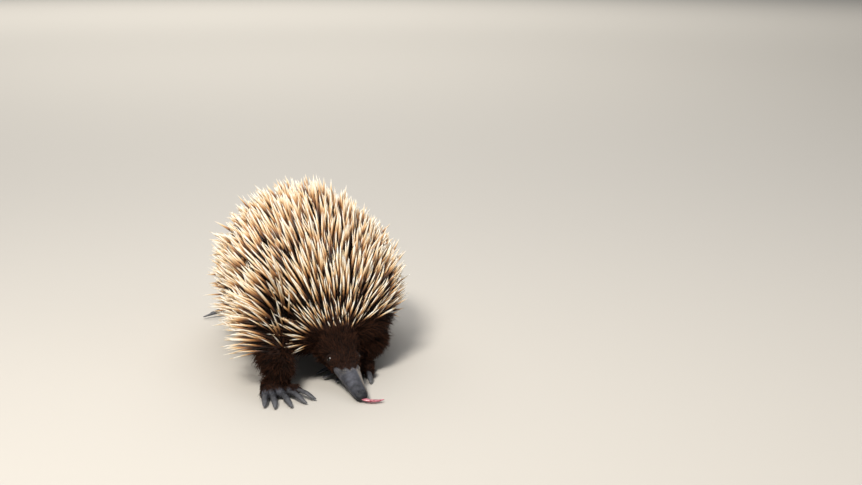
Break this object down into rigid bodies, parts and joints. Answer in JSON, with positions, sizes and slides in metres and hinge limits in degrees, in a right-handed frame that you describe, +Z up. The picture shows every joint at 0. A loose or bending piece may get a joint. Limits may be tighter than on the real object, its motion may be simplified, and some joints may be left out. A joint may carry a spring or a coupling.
{
  "type": "short-beaked echidna, still life-size model",
  "caption": "Life-size short-beaked echidna in a walking stance: domed coat of quills, low head with a bare beak and extended tongue, furred legs and digging claws.",
  "frame": {"origin": "on the floor, in the middle of the box that the animal fills", "axes": "+Y from the beak to the tail, so the animal faces -Y; +X towards its left side; +Z up"},
  "size_m": [0.2444, 0.4064, 0.1914],
  "materials": {
    "quills": "smooth horny quills, cream at the tips, tan in the middle and dark brown at the roots, over brown fur",
    "fur": "coarse dark reddish brown hair",
    "beak_skin": "bare grey skin with fine wrinkles, slightly damp at the tip",
    "foot_skin": "dark thick skin with short hair",
    "claw": "worn grey horn",
    "eye": "wet and glossy",
    "tongue": "wet pink"
  },
  "bodies": {
    "root": {"beak": "beak_skin", "claw_fore_left_1": "claw", "claw_fore_left_2": "claw", "claw_fore_left_3": "claw", "claw_fore_left_4": "claw", "claw_fore_left_5": "claw", "claw_fore_right_1": "claw", "claw_fore_right_2": "claw", "claw_fore_right_3": "claw", "claw_fore_right_4": "claw", "claw_fore_right_5": "claw", "claw_hind_left_1": "claw", "claw_hind_left_2": "claw", "claw_hind_left_3": "claw", "claw_hind_left_4": "claw", "claw_hind_left_5": "claw", "claw_hind_right_1": "claw", "claw_hind_right_2": "claw", "claw_hind_right_3": "claw", "claw_hind_right_4": "claw", "claw_hind_right_5": "claw", "ear_left": "fur", "ear_right": "fur", "eye_left": "eye", "eye_right": "eye", "foot_fore_left": "foot_skin", "foot_fore_right": "foot_skin", "foot_hind_left": "foot_skin", "foot_hind_right": "foot_skin", "head": "fur", "leg_fore_left": "fur", "leg_fore_right": "fur", "leg_hind_left": "fur", "leg_hind_right": "fur", "tail": "quills", "tongue": "tongue", "trunk": "quills"}
  },
  "joints": []
}
